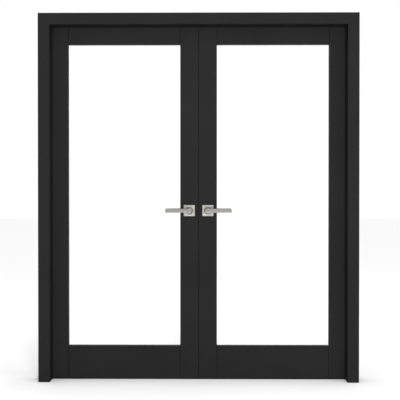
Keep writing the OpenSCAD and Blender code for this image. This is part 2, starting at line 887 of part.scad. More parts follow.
module right_fasteners() {
    color(steel) {
        for (z = hinge_zs) translate([0, 0, z]) leaf_hinge_screws();
        face_plate_screws();
        rose_bolts();
    }
}

// ---- The pieces ----

front_in = [stop_x, clear_h];
casing_step = barrel_x + barrel_r + casing_gap - rebate_x;
back_in = [rebate_x + casing_step, rebate_z + casing_step];

side_jamb("left");  // jamb_left
side_jamb("right");  // jamb_right
jamb_head();
side_stop("left");  // stop_left
side_stop("right");  // stop_right
head_stop();  // stop_head
casing_leg("left", front_in.x, front_in.y, front_y);  // casing_front_left
casing_leg("right", front_in.x, front_in.y, front_y);  // casing_front_right
casing_head(front_in.x, front_in.y, front_y);  // casing_front_head
casing_leg("left", back_in.x, back_in.y, jamb_y1);  // casing_back_left
casing_leg("right", back_in.x, back_in.y, jamb_y1);  // casing_back_right
casing_head(back_in.x, back_in.y, jamb_y1);  // casing_back_head
frame_seal();
head_strike();
frame_fasteners();
hinge_pins();
frame_hinges("left");  // left_frame_hinges
frame_hinges("right");  // right_frame_hinges
hinge_stile("left");  // left_hinge_stile
left_meeting_stile();
top_rail("left");  // left_top_rail
bottom_rail("left");  // left_bottom_rail
glass("left");  // left_glass
glazing_seal("left");  // left_glazing_seal
beads("left");  // left_beads
dowels("left");  // left_dowels
leaf_hinges("left");  // left_leaf_hinges
meeting_seal("left");  // left_meeting_seal
bottom_seal("left");  // left_bottom_seal
left_fasteners();
rose_front("left");  // left_rose_front
rose_back("left");  // left_rose_back
bolt_case();
left_edge_plate();
hinge_stile("right");  // right_hinge_stile
right_meeting_stile();
top_rail("right");  // right_top_rail
bottom_rail("right");  // right_bottom_rail
glass("right");  // right_glass
glazing_seal("right");  // right_glazing_seal
beads("right");  // right_beads
dowels("right");  // right_dowels
leaf_hinges("right");  // right_leaf_hinges
meeting_seal("right");  // right_meeting_seal
bottom_seal("right");  // right_bottom_seal
right_fasteners();
rose_front("right");  // right_rose_front
rose_back("right");  // right_rose_back
latch_case();
right_edge_plate();
lever_front("left");  // left_lever_front
lever_back("left");  // left_lever_back
spindle("left");  // left_spindle
bolt_rod();
lever_front("right");  // right_lever_front
lever_back("right");  // right_lever_back
spindle("right");  // right_spindle
latch_bolt();
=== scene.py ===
import json
import math
import bmesh
import bpy
import numpy as np
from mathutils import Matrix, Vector


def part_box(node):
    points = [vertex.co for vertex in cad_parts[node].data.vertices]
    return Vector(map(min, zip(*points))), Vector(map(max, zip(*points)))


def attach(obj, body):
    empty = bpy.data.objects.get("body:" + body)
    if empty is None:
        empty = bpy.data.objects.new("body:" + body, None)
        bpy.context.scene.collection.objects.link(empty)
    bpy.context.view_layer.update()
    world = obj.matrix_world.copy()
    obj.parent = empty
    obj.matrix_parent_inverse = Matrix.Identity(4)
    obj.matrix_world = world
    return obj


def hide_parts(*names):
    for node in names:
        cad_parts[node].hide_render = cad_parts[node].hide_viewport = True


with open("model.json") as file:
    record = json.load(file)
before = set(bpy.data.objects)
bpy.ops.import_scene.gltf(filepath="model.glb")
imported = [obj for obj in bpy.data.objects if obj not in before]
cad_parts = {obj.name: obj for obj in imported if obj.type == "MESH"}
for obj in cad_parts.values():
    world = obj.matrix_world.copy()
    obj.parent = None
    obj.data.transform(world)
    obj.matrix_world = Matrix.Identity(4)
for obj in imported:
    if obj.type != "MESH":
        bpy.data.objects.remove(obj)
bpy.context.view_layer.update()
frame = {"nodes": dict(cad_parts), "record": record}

print("frame loaded:", len(frame["nodes"]), "nodes")

scene = bpy.context.scene
scene.view_settings.view_transform = "Standard"
mm = 0.001

record = frame["record"]
bodyOf = {node: body for body, nodes in record["behaviour"]["bodies"].items() for node in nodes}
slotOf = {part["node"]: part["material_slot"] for part in record["subparts"]}
jointOf = {joint["name"]: joint for joint in record["behaviour"]["joints"]}
sides = ("left", "right")
outwardOf = {"front": -1, "back": 1}  # along Y, for the two faces of the door


# camera and world

stage = {
    "lens": 81.7,  # mm
    "sensor": 36,  # mm across
    "eye": (0.057, -5.234, 1.089),
    "down": 0.595,  # degrees below level
    "turn": 0.535,  # degrees to the left
    "world": 1.0,  # strength of the white surroundings
}


def makeCamera(values):
    camera = bpy.data.cameras.new("camera")
    camera.lens = values["lens"]
    camera.sensor_width = values["sensor"]
    holder = bpy.data.objects.new("camera", camera)
    holder.location = values["eye"]
    holder.rotation_euler = (math.radians(90 - values["down"]), 0, math.radians(values["turn"]))
    scene.collection.objects.link(holder)
    scene.camera = holder


def makeWorld(strength):
    world = bpy.data.worlds.new("studio")
    world.use_nodes = True
    background = world.node_tree.nodes["Background"]
    background.inputs["Color"].default_value = (1, 1, 1, 1)
    background.inputs["Strength"].default_value = strength
    scene.world = world


makeCamera(stage)
makeWorld(stage["world"])


# finishes

usual = (0.3, 0.7)  # nearly all of a noise lies between these


# a material with its shader, and short ways to add nodes that read object coordinates
class Finish:
    def __init__(self, name, **sockets):
        self.material = bpy.data.materials.new(name)
        self.material.use_nodes = True
        self.tree = self.material.node_tree
        self.shader = self.tree.nodes["Principled BSDF"]
        self.place = None
        for socket, value in sockets.items():
            self.shader.inputs[socket.replace("_", " ")].default_value = value

    def join(self, output, node, socket):
        self.tree.links.new(output, node.inputs[socket])

    def drive(self, socket, output):
        self.join(output, self.shader, socket)

    def coordinates(self, stretch=(1, 1, 1)):
        if self.place is None:
            self.place = self.tree.nodes.new("ShaderNodeTexCoord")
        mapping = self.tree.nodes.new("ShaderNodeMapping")
        mapping.inputs["Scale"].default_value = stretch
        self.join(self.place.outputs["Object"], mapping, "Vector")
        return mapping.outputs["Vector"]

    def noise(self, scale, stretch=(1, 1, 1), detail=3.0, roughness=0.5, distortion=0.0):
        noise = self.tree.nodes.new("ShaderNodeTexNoise")
        noise.inputs["Scale"].default_value = scale
        noise.inputs["Detail"].default_value = detail
        noise.inputs["Roughness"].default_value = roughness
        noise.inputs["Distortion"].default_value = distortion
        self.join(self.coordinates(stretch), noise, "Vector")
        return noise.outputs["Fac"]

    def fibres(self, pitch, run, along, **looks):
        # noise drawn out along one axis: pitch is its lines per metre across, and run along
        stretch = [pitch] * 3
        stretch["xyz".index(along)] = run
        return self.noise(1.0, stretch, **looks)

    def ramp(self, value, low, high, span=usual):
        ramp = self.tree.nodes.new("ShaderNodeMapRange")
        ramp.inputs["From Min"].default_value = span[0]
        ramp.inputs["From Max"].default_value = span[1]
        ramp.inputs["To Min"].default_value = low
        ramp.inputs["To Max"].default_value = high
        self.join(value, ramp, "Value")
        return ramp.outputs["Result"]

    def shades(self, value, stops):
        ramp = self.tree.nodes.new("ShaderNodeValToRGB")
        ramp.color_ramp.elements[0].position, ramp.color_ramp.elements[0].color = stops[0]
        ramp.color_ramp.elements[1].position, ramp.color_ramp.elements[1].color = stops[-1]
        for position, colour in stops[1:-1]:
            ramp.color_ramp.elements.new(position).color = colour
        self.join(value, ramp, "Fac")
        return ramp.outputs["Color"]

    def bump(self, height, distance, below=None):
        bump = self.tree.nodes.new("ShaderNodeBump")
        bump.inputs["Distance"].default_value = distance
        bump.inputs["Strength"].default_value = 1
        self.join(height, bump, "Height")
        if below is not None:
            self.join(below, bump, "Normal")
        return bump.outputs["Normal"]


def grey(value, warm=1.0):
    return (value * warm, value, value / warm, 1)


lacquerLook = {
    "tone": 0.0084,
    "spread": 0.10,  # share by which the tone drifts
    "warm": 1.01,  # the lighter clouds are a touch warmer
    "cloudPitch": 2.3,  # per metre
    "specular": 0.06,
    "roughness": (0.58, 0.66),
    "grainPitch": 260.0,  # fibres per metre across the board
    "grainRun": 5.0,  # and along it
    "grainDepth": 0.05 * mm,
    "peelPitch": 900.0,
    "peelDepth": 0.012 * mm,
}


def makeLacquer(name, values, along):
    # Matt sprayed lacquer: the tone drifts in clouds, and the board's fibres show faintly
    # along one axis under a fine orange peel.
    finish = Finish(name, Specular_IOR_Level=values["specular"])
    tone, spread = values["tone"], values["spread"]
    cloud = finish.noise(values["cloudPitch"], detail=4)
    stops = [(usual[0], grey(tone * (1 - spread))), (usual[1], grey(tone * (1 + spread), values["warm"]))]
    finish.drive("Base Color", finish.shades(cloud, stops))
    grain = finish.fibres(values["grainPitch"], values["grainRun"], along, detail=4, roughness=0.6)
    peel = finish.noise(values["peelPitch"], detail=2)
    finish.drive("Roughness", finish.ramp(peel, *values["roughness"]))
    fibres = finish.bump(grain, values["grainDepth"])
    finish.drive("Normal", finish.bump(peel, values["peelDepth"], fibres))
    return finish.material


nickelLook = {
    "light": (0.42, 0.405, 0.385),
    "dark": (0.35, 0.337, 0.32),
    "lever": 0.70,  # the levers' share of these tones, a painted shade on the same nickel
    "rose": 1.02,  # and the roses' share, a painted light on the same nickel
    "anisotropy": 0.4,
    "roughness": (0.28, 0.42),
    "strokePitch": 2600.0,  # brush strokes per metre across
    "strokeRun": 35.0,  # and along
    "strokeDepth": 0.004 * mm,
}


def makeNickel(name, values, along, share=1.0):
    # Satin nickel: fine brush strokes along one axis change the tone, the roughness and the height a little.
    finish = Finish(name, Metallic=1.0, Anisotropic=values["anisotropy"])
    strokes = finish.fibres(values["strokePitch"], values["strokeRun"], along, detail=5, roughness=0.65)
    # a share below one paints shade into this copy of the nickel, and a share above one paints light
    dark, light = [tuple(c * share for c in values[tone]) + (1,) for tone in ("dark", "light")]
    finish.drive("Base Color", finish.shades(strokes, [(usual[0], dark), (usual[1], light)]))
    finish.drive("Roughness", finish.ramp(strokes, *values["roughness"]))
    finish.drive("Normal", finish.bump(strokes, values["strokeDepth"]))
    return finish.material


steelLook = {
    "dark": (0.46, 0.48, 0.51, 1),
    "light": (0.60, 0.61, 0.62, 1),
    "crystalPitch": 420.0,
    "roughness": (0.30, 0.46),
    "rollPitch": 1500.0,
    "rollDepth": 0.006 * mm,
}


def makeSteel(values):
    # Zinc plate: small crystals of slightly different grey, with a light roll texture.
    finish = Finish("zincPlate", Metallic=1.0)
    cells = finish.tree.nodes.new("ShaderNodeTexVoronoi")
    cells.inputs["Scale"].default_value = values["crystalPitch"]
    finish.join(finish.coordinates(), cells, "Vector")
    crystal = finish.tree.nodes.new("ShaderNodeSeparateColor")
    finish.join(cells.outputs["Color"], crystal, "Color")
    stops = [(0, values["dark"]), (1, values["light"])]
    finish.drive("Base Color", finish.shades(crystal.outputs["Red"], stops))
    roll = finish.noise(values["rollPitch"], detail=3)
    finish.drive("Roughness", finish.ramp(roll, *values["roughness"]))
    finish.drive("Normal", finish.bump(roll, values["rollDepth"]))
    return finish.material


rubberLook = {
    # these stops are partly the rubber's own black and partly painted shade in the seams
    "stops": [(0.3, grey(0.0025)), (0.75, grey(0.006))],
    "specular": 0.08,
    "roughness": (0.62, 0.8),
    "dustPitch": 700.0,
    "dustDepth": 0.01 * mm,
}


def makeRubber(values):
    # Extruded rubber: a soft matt black with a fine dusty mottling. Its very dark tone is partly the rubber's
    # own black and partly painted shade for the seams and corners where the seals sit.
    finish = Finish("sealRubber", Specular_IOR_Level=values["specular"])
    dust = finish.noise(values["dustPitch"], detail=4, roughness=0.7)
    finish.drive("Base Color", finish.shades(dust, values["stops"]))
    finish.drive("Roughness", finish.ramp(dust, *values["roughness"]))
    finish.drive("Normal", finish.bump(dust, values["dustDepth"]))
    return finish.material


birchLook = {
    "stops": [(0.3, (0.50, 0.34, 0.18, 1)), (0.5, (0.62, 0.46, 0.27, 1)), (0.75, (0.70, 0.54, 0.34, 1))],
    "roughness": (0.5, 0.68),
    "fibrePitch": 800.0,
    "fibreRun": 9.0,
    "fibreDepth": 0.03 * mm,
}


def makeBirch(values):
    # Bare birch: long pale and darker fibres along the dowel.
    finish = Finish("birchDowel")
    fibres = finish.fibres(values["fibrePitch"], values["fibreRun"], "x",
                           detail=5, roughness=0.6, distortion=0.4)
    finish.drive("Base Color", finish.shades(fibres, values["stops"]))
    finish.drive("Roughness", finish.ramp(fibres, *values["roughness"]))
    finish.drive("Normal", finish.bump(fibres, values["fibreDepth"]))
    return finish.material


glassLook = {
    "tint": (0.93, 0.975, 0.955, 1),
    "alpha": 0.05,
    "index": 1.52,
    "wipes": (2, 14, 5),  # per metre in X, Y and Z
    "roughness": (0.02, 0.05),
}


def makeGlass(values):
    # Clear float glass: a breath of green and the faintest unevenness in its gloss.
    finish = Finish("floatGlass", Base_Color=values["tint"], Alpha=values["alpha"], IOR=values["index"])
    wipe = finish.noise(1.0, values["wipes"], detail=5, distortion=1.2)
    finish.drive("Roughness", finish.ramp(wipe, *values["roughness"]))
    return finish.material


upright = makeLacquer("lacquerUpright", lacquerLook, "z")
level = makeLacquer("lacquerLevel", lacquerLook, "x")
nickel = makeNickel("satinNickel", nickelLook, "x")
nickelUpright = makeNickel("satinNickelUpright", nickelLook, "z")
leverNickelPaintedShade = makeNickel("satinNickelLeverPaintedShade", nickelLook, "x", nickelLook["lever"])
roseNickelPaintedLight = makeNickel("satinNickelRosePaintedLight", nickelLook, "z", nickelLook["rose"])
steel = makeSteel(steelLook)
rubber = makeRubber(rubberLook)
birch = makeBirch(birchLook)
glass = makeGlass(glassLook)

# the nodes that stay as they are take a finish from their slot
looks = {"black_lacquer": upright, "satin_nickel": nickel, "plated_steel": steel,
         "clear_glass": glass, "black_rubber": rubber, "birch": birch}
for name, node in frame["nodes"].items():
    node.data.materials.clear()
    node.data.materials.append(looks[slotOf[name]])
print("finishes made")


# floor and softboxes

floorLook = {
    "size": 60.0,
    "near": 0.79,  # tone beside the door, where the floor keeps a painted shade
    "far": 0.95,  # and away from it, a painted light
    "fade": (0.9, 2.0),  # m from the middle of the door
}
softboxes = {
    "key": {"watts": 620.0, "size": 1.2, "from": (0.7, -6.6, 1.45), "to": (0.0, 0.0, 1.0),
            "gloss": False, "sparesFloor": False},
    "side": {"watts": 70.0, "size": 3.0, "from": (5.0, -4.8, 4.5), "to": (0.0, 0.0, 0.8),
             "gloss": True, "sparesFloor": False},
    "back": {"watts": 520.0, "size": 1.8, "from": (-0.7, 6.6, 1.45), "to": (0.0, 0.0, 1.0),
             "gloss": False, "sparesFloor": True},
}


def makeFloor(values):
    # A plain square whose tone rises evenly with the distance from the door, between the fade's two. The rise
    # is painted light: it lightens the floor away from the door, where the lamps leave it grey.
    finish = Finish("floorWithPaintedLight", Roughness=0.9, Specular_IOR_Level=0.1)
    away = finish.tree.nodes.new("ShaderNodeVectorMath")
    away.operation = "LENGTH"
    finish.join(finish.coordinates(), away, "Vector")
    tone = finish.ramp(away.outputs["Value"], values["near"], values["far"], values["fade"])
    finish.drive("Base Color", tone)
    half = values["size"] / 2
    mesh = bpy.data.meshes.new("floor")
    corners = [(-half, -half, 0), (half, -half, 0), (half, half, 0), (-half, half, 0)]
    mesh.from_pydata(corners, [], [(0, 1, 2, 3)])
    mesh.materials.append(finish.material)
    floor = bpy.data.objects.new("floor", mesh)
    scene.collection.objects.link(floor)
    return floor


def makeSoftbox(name, values, floor):
    # a square light that isn't seen itself; one that spares the floor lights everything else
    light = bpy.data.lights.new(name, "AREA")
    light.energy = values["watts"]
    light.size = values["size"]
    holder = bpy.data.objects.new(name, light)
    holder.location = values["from"]
    toward = Vector(values["to"]) - Vector(values["from"])
    holder.rotation_euler = toward.to_track_quat("-Z", "Y").to_euler()
    holder.visible_camera = False
    holder.visible_glossy = values["gloss"]
    scene.collection.objects.link(holder)
    if values["sparesFloor"]:
        spared = bpy.data.collections.new(name + "Spared")
        spared.objects.link(floor)
        holder.light_linking.receiver_collection = spared
        spared.collection_objects[0].light_linking.link_state = "EXCLUDE"


floor = makeFloor(floorLook)
for name in softboxes:
    makeSoftbox(name, softboxes[name], floor)
print("floor and lights made")


# shapes: every function returns points and faces, with the faces turned outwards

# a drawing's (u, v) is (y, z) across X, (z, x) across Y and (x, y) across Z; these put (u, v, along) in order
orderFor = {"x": (2, 0, 1), "y": (1, 2, 0), "z": (0, 1, 2)}


def quarter(steps):
    # evenly spaced angles from nothing to a right angle
    return np.linspace(0, math.pi / 2, steps + 1)


def circle(count):
    # evenly spaced angles round a full turn
    return np.linspace(0, 2 * math.pi, count, endpoint=False)


def cornered(count):
    # Angles round a full turn, each moved by a fifth of the sine of four times itself, which gathers them
    # at the corners.
    q = circle(count)
    return q + 0.2 * np.sin(4 * q)


def squareness(q, power):
    # One over the power's root of |cos|^power + |sin|^power: 2 gives a circle, and 40 gives a square with
    # small round corners.
    return 1 / (np.abs(np.cos(q)) ** power + np.abs(np.sin(q)) ** power) ** (1 / power)


def faceOut(points, faces):
    # Six times the volume is the sum of a . (b x c) over the faces' triangles. If it is negative, every face
    # is turned.
    fan = np.array([(f[0], f[i], f[i + 1]) for f in faces for i in range(1, len(f) - 1)])
    a, b, c = points[fan[:, 0]], points[fan[:, 1]], points[fan[:, 2]]
    if np.einsum("ij,ij->", a, np.cross(b, c)) < 0:
        faces = [tuple(reversed(face)) for face in faces]
    return points, faces


def skin(rings, closed=False):
    # Rings of equal length joined by four-sided faces. The two ends get flat faces, or join each other.
    rows, columns = rings.shape[:2]
    index = np.arange(rows * columns).reshape(rows, columns)
    if closed:
        index = np.concatenate([index, index[:1]])
    here, across = index[:-1], np.roll(index, -1, axis=1)
    quads = np.stack([here, across[:-1], across[1:], index[1:]], axis=-1).reshape(-1, 4)
    faces = [tuple(face) for face in quads.tolist()]
    if not closed:
        faces += [tuple(index[0][::-1].tolist()), tuple(index[-1].tolist())]
    return faceOut(rings.reshape(-1, 3), faces)


def together(shapes):
    # Several shapes as one: each shape's faces count on from the points before it.
    starts = np.cumsum([0] + [len(points) for points, faces in shapes])
    faces = [tuple(int(start) + corner for corner in face)
             for start, (points, own) in zip(starts, shapes) for face in own]
    return np.concatenate([points for points, own in shapes]), faces


def rectangle(u0, u1, v0, v1):
    return [(u0, v0), (u1, v0), (u1, v1), (u0, v1)]


def softOutline(corners, radius, steps=4, same=1e-7):
    # Each corner C becomes (1-t)^2 A + 2t(1-t) C + t^2 B, where A and B lie one radius from C on its two
    # sides. Points that are the same are kept once.
    corners = np.asarray(corners, float)
    radius = np.broadcast_to(np.asarray(radius, float), len(corners))[:, None]
    back = np.roll(corners, 1, axis=0) - corners
    ahead = np.roll(corners, -1, axis=0) - corners
    a = corners + back / np.linalg.norm(back, axis=1, keepdims=True) * radius
    b = corners + ahead / np.linalg.norm(ahead, axis=1, keepdims=True) * radius
    t = np.linspace(0, 1, steps + 1)[None, :, None]
    points = (1 - t) ** 2 * a[:, None] + 2 * t * (1 - t) * corners[:, None] + t ** 2 * b[:, None]
    points = points.reshape(-1, 2)
    apart = np.linalg.norm(points - np.roll(points, 1, axis=0), axis=1) > same
    return points[apart]


def drawnIn(outline, distance):
    # Each point moves along the sum of its two sides' inward normals, by twice the distance over the
    # sum squared.
    side = np.roll(outline, -1, axis=0) - outline
    normal = np.stack([-side[:, 1], side[:, 0]], axis=1) / np.linalg.norm(side, axis=1, keepdims=True)
    both = normal + np.roll(normal, 1, axis=0)
    return outline + both * 2 * distance / np.sum(both ** 2, axis=1, keepdims=True)


def carried(outline, axis, start, end, arris=(0, 0), lean=(0, 0), steps=3):
    # An outline (u, v) carried along an axis. At an end that leans, a point stands further on by the lean
    # times its u.
    # At an end with an arris, q runs over a right angle: the ring is drawn in by the arris times 1 - sin q,
    # and stands the arris times 1 - cos q from the end.
    outline = np.asarray(outline, float)
    turn = quarter(steps)
    rings = []
    for spot, size, tilt, way in ((start, arris[0], lean[0], 1), (end, arris[1], lean[1], -1)):
        angles = turn if size > 0 else turn[-1:]
        ends = [np.column_stack([flat, spot + way * size * (1 - np.cos(q)) + tilt * flat[:, 0]])
                for q in angles for flat in [drawnIn(outline, size * (1 - np.sin(q)))]]
        rings += ends if way > 0 else ends[::-1]
    return skin(np.stack(rings)[:, :, orderFor[axis]])


def board(low, high, axis, radius):
    # A box whose long corners and both ends are rounded by the radius.
    k = "xyz".index(axis)
    u, v = (k + 1) % 3, (k + 2) % 3
    outline = softOutline(rectangle(low[u], high[u], low[v], high[v]), radius)
    return carried(outline, axis, low[k], high[k], (radius, radius))


def turned(rows, centre, axis, around, wave=1.0):
    # A profile of (height, radius) turned round an axis; wave is the share of the radius at each angle.
    rows = np.asarray(rows, float)
    q = circle(around)
    ring = np.stack([np.cos(q) * wave, np.sin(q) * wave], axis=-1)
    flat = rows[:, 1, None, None] * ring[None]
    height = np.repeat(rows[:, 0, None], around, axis=1)[..., None]
    return skin(np.concatenate([flat, height], axis=-1)[:, :, orderFor[axis]] + np.asarray(centre))


def squared(rows, centre, outward, around=96):
    # Closed rings about the Y axis, each a row of distance out, half width and power of its squareness.
    rows = np.asarray(rows, float)
    q = cornered(around)
    r = rows[:, 1, None] * squareness(q, rows[:, 2, None])
    x, z = r * np.cos(q), r * np.sin(q)
    y = np.repeat(rows[:, 0, None], around, axis=1) * outward
    return skin(np.stack([x, y, z], axis=-1) + np.asarray(centre), closed=True)


def barOf(low, high, axis, soft, power, around=64, steps=6):
    # A bar that fills the box, with a squared section. Its ends round over as q runs over a right angle:
    # drawn in by soft times 1 - sin q at soft times 1 - cos q from the end.
    k = "xyz".index(axis)
    u, v = (k + 1) % 3, (k + 2) % 3
    middle, half = (low + high) / 2, (high - low) / 2
    q = quarter(steps)
    inset = soft * (1 - np.sin(q))
    step = soft * (1 - np.cos(q))
    inset = np.concatenate([inset, inset[::-1]])
    along = np.concatenate([low[k] + step, (high[k] - step)[::-1]])
    w = cornered(around)
    r = squareness(w, power)
    rings = np.zeros((len(along), around, 3))
    rings[:, :, k] = along[:, None]
    rings[:, :, u] = middle[u] + (half[u] - inset[:, None]) * (r * np.cos(w))[None]
    rings[:, :, v] = middle[v] + (half[v] - inset[:, None]) * (r * np.sin(w))[None]
    return skin(rings)


# putting pieces in the scene

meshSizes = {
    "weld": 0.002 * mm,  # points nearer than this are one
    "near": 0.01 * mm,  # a point this near a plane lies on it
    "end": 0.05 * mm,  # and one this near the end of a screw or dowel belongs to it
    "flat": math.radians(0.4),  # faces that meet at less than this become one
    "sharp": math.radians(40),  # edges sharper than this get an arris
}


def nodeBox(node):
    low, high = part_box(node)
    return np.array(low, float), np.array(high, float)


def weldedCopy(node):
    # a node's mesh is loose triangles, so its copy is merged first
    shape = bmesh.new()
    shape.from_mesh(frame["nodes"][node].data)
    bmesh.ops.remove_doubles(shape, verts=shape.verts, dist=meshSizes["weld"])
    return shape


def settle(name, mesh, node, material, crease, weighted):
    # a piece stands for a node: it rides on the node's body and takes the node's slot
    mesh.materials.append(material)
    mesh.polygons.foreach_set("use_smooth", np.ones(len(mesh.polygons), bool))
    mesh.set_sharp_from_angle(angle=crease)
    piece = bpy.data.objects.new(name, mesh)
    scene.collection.objects.link(piece)
    if weighted:
        weigh(piece)
    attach(piece, bodyOf[node])
    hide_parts(node)
    return piece


def weigh(piece):
    normals = piece.modifiers.new("normals", "WEIGHTED_NORMAL")
    normals.keep_sharp = True


def addPiece(name, shape, node, material, crease=35, weighted=True):
    points, faces = shape
    mesh = bpy.data.meshes.new(name)
    mesh.from_pydata(np.asarray(points).tolist(), [], faces)
    mesh.update()
    settle(name, mesh, node, material, math.radians(crease), weighted)


def softened(name, node, material, arris, steps=2, joint=None):
    # The node's own solid, with every sharp edge rounded by the arris.
    # With a joint (wide, deep), the front and back faces fall away by deep over the last wide of the
    # length in X.
    shape = weldedCopy(node)
    bmesh.ops.dissolve_limit(shape, angle_limit=meshSizes["flat"], verts=shape.verts, edges=shape.edges)
    if joint is not None:
        wide, deep = joint
        low, high = nodeBox(node)
        near = meshSizes["near"]
        for spot, way in ((low[0], 1), (high[0], -1)):
            bmesh.ops.bisect_plane(shape, geom=shape.verts[:] + shape.edges[:] + shape.faces[:],
                                   plane_co=(spot + way * wide, 0, 0), plane_no=(1, 0, 0))
            for vert in shape.verts:
                if abs(vert.co.x - spot) < near and abs(vert.co.y - low[1]) < near:
                    vert.co.y += deep
                if abs(vert.co.x - spot) < near and abs(vert.co.y - high[1]) < near:
                    vert.co.y -= deep
    mesh = bpy.data.meshes.new(name)
    shape.to_mesh(mesh)
    shape.free()
    mesh.materials.clear()
    piece = settle(name, mesh, node, material, meshSizes["sharp"], weighted=False)
    bevel = piece.modifiers.new("arris", "BEVEL")
    bevel.width = arris
    bevel.segments = steps
    bevel.limit_method = "ANGLE"
    bevel.angle_limit = meshSizes["sharp"]
    bevel.use_clamp_overlap = True
    bevel.harden_normals = False
    weigh(piece)


# casings

casingSizes = {
    "round": 0.8 * mm,  # edges along the boards
    "foot": 0.6 * mm,  # edge at the floor
    "mitre": 0.4 * mm,
}


def makeCasings(face, values):
    title = "casing" + face.title()
    for side, sign in (("left", -1), ("right", 1)):
        node = "casing_%s_%s" % (face, side)
        low, high = nodeBox(node)
        inner, outer = (high[0], low[0]) if sign < 0 else (low[0], high[0])
        outline = softOutline(rectangle(low[0], high[0], low[1], high[1]), values["round"])
        # the mitre climbs from the inner edge to the outer one
        top = high[2] - abs(outer - inner) - sign * inner
        shape = carried(outline, "z", low[2], top, (values["foot"], values["mitre"]), (0, sign))
        addPiece(title + side.title(), shape, node, upright)
    # the head's outline is drawn as (z, y), and each end leans out with the height
    node = "casing_%s_head" % face
    low, high = nodeBox(node)
    outline = softOutline(rectangle(low[2], high[2], low[1], high[1]), values["round"])
    out = outline[:, 0] + high[0] - high[2]
    ends = [np.column_stack([sign * out, outline[:, 1], outline[:, 0]]) for sign in (-1, 1)]
    addPiece(title + "Head", skin(np.stack(ends)), node, level)


for face in outwardOf:
    makeCasings(face, casingSizes)
print("casings made")


# jambs, stops and the frame's seal

frameSizes = {
    "arris": 0.8 * mm,  # jambs and stops
    "kerf": (3 * mm, 8 * mm),  # width and depth of the groove that holds the seal
    "sealShow": 5 * mm,  # how far the seal stands out beside the stops
    "sealRound": 0.9 * mm,
    "sealFoot": 0.4 * mm,  # rounding in the groove
    "sealHeel": 0.3 * mm,
    "sealEase": 0.3 * mm,  # from the upright seals to the head's seal
}


def makeJambs(values):
    for part, finish in (("left", upright), ("right", upright), ("head", level)):
        softened("jamb" + part.title(), "jamb_" + part, finish, values["arris"])


def makeStops(values):
    # A stop is a board with a groove in its back corner. The seal fills the groove and stands out
    # beside the stop.
    kerfWidth, kerfDepth = values["kerf"]
    arris, show = values["arris"], values["sealShow"]
    tip, foot, heel = values["sealRound"], values["sealFoot"], values["sealHeel"]
    sealBack = nodeBox("frame_seal")[1][1]
    lengths = []
    for side, sign in (("left", -1), ("right", 1)):
        low, high = nodeBox("stop_" + side)
        face, wall = (high[0], low[0]) if sign < 0 else (low[0], high[0])
        kerf, bottom = wall - sign * kerfWidth, high[1] - kerfDepth
        corners = [(face, low[1]), (wall, low[1]), (wall, bottom),
                   (kerf, bottom), (kerf, high[1]), (face, high[1])]
        outline = softOutline(corners[::sign], arris)
        addPiece("stop" + side.title(), carried(outline, "z", low[2], high[2]), "stop_" + side, upright)
        lip = face - sign * show
        corners = [(lip, high[1]), (kerf, high[1]), (kerf, bottom),
                   (wall, bottom), (wall, sealBack), (lip, sealBack)]
        soft = [tip, 0, foot, foot, heel, tip]
        outline = softOutline(corners[::sign], soft[::sign])
        lengths.append(carried(outline, "z", low[2], high[2] - show - values["sealEase"]))
    low, high = nodeBox("stop_head")
    kerf, bottom = high[2] - kerfWidth, high[1] - kerfDepth
    corners = [(low[1], low[2]), (high[1], low[2]), (high[1], kerf),
               (bottom, kerf), (bottom, high[2]), (low[1], high[2])]
    addPiece("stopHead", carried(softOutline(corners, arris), "x", low[0], high[0]), "stop_head", level)
    lip = low[2] - show
    corners = [(high[1], lip), (sealBack, lip), (sealBack, high[2]),
               (bottom, high[2]), (bottom, kerf), (high[1], kerf)]
    soft = [tip, tip, heel, foot, foot, 0]
    lengths.append(carried(softOutline(corners, soft), "x", low[0], high[0]))
    addPiece("frameSeal", together(lengths), "frame_seal", rubber)


makeJambs(frameSizes)
makeStops(frameSizes)
print("frame made")


# leaves: stiles, rails, beads and seals

leafSizes = {
    "arris": 0.5 * mm,
    "jointWide": 2.2 * mm,  # the rails' shoulders fall away beside the stiles
    "jointDeep": 6 * mm,
}
sealSizes = {
    "finRound": 0.7 * mm,
    "finMeet": 0.0 * mm,  # from the middle of the seam to the tip of a fin
    "dropMeet": 0.05 * mm,  # and to the end of a bottom seal
    "dropLip": 3 * mm,
    "dropBase": 2 * mm,
    "dropRound": 1.2 * mm,  # lip
    "dropInside": 0.8 * mm,  # where the lip leaves the base
    "dropHeel": 0.6 * mm,
    "dropGlued": 0.2 * mm,
}
beadSizes = {
    "sight": 2.2 * mm,  # rounding of the edge that shows beside the glass
    "arris": 0.35 * mm,
    "hidden": 0.3 * mm,
    "mitreGap": 0.1 * mm,
}


def makeLeaf(side, values):
    arris, joint = values["arris"], (values["jointWide"], values["jointDeep"])
    for part in ("hinge", "meeting"):
        softened("%s%sStile" % (side, part.title()), "%s_%s_stile" % (side, part), upright, arris)
    for part in ("top", "bottom"):
        softened("%s%sRail" % (side, part.title()), "%s_%s_rail" % (side, part), level, arris, joint=joint)


def makeLeafSeals(side, values):
    # soft tips reach the middle of the seam, so no light shows between the leaves
    inner, outward = (1, -1) if side == "left" else (0, 1)
    fin = nodeBox(side + "_meeting_seal")
    fin[inner][0] = outward * values["finMeet"]
    addPiece(side + "MeetingSeal", board(*fin, "z", values["finRound"]), side + "_meeting_seal", rubber)
    # the bottom seal is an L: a base glued under the leaf, and a lip that hangs from its front
    box = nodeBox(side + "_bottom_seal")
    box[inner][0] = outward * values["dropMeet"]
    low, high = box
    under, behind = high[2] - values["dropBase"], low[1] + values["dropLip"]
    corners = [(low[1], low[2]), (behind, low[2]), (behind, under),
               (high[1], under), (high[1], high[2]), (low[1], high[2])]
    lip, glued = values["dropRound"], values["dropGlued"]
    soft = [lip, lip, values["dropInside"], values["dropHeel"], glued, glued]
    shape = carried(softOutline(corners, soft), "x", low[0], high[0])
    addPiece(side + "BottomSeal", shape, side + "_bottom_seal", rubber)


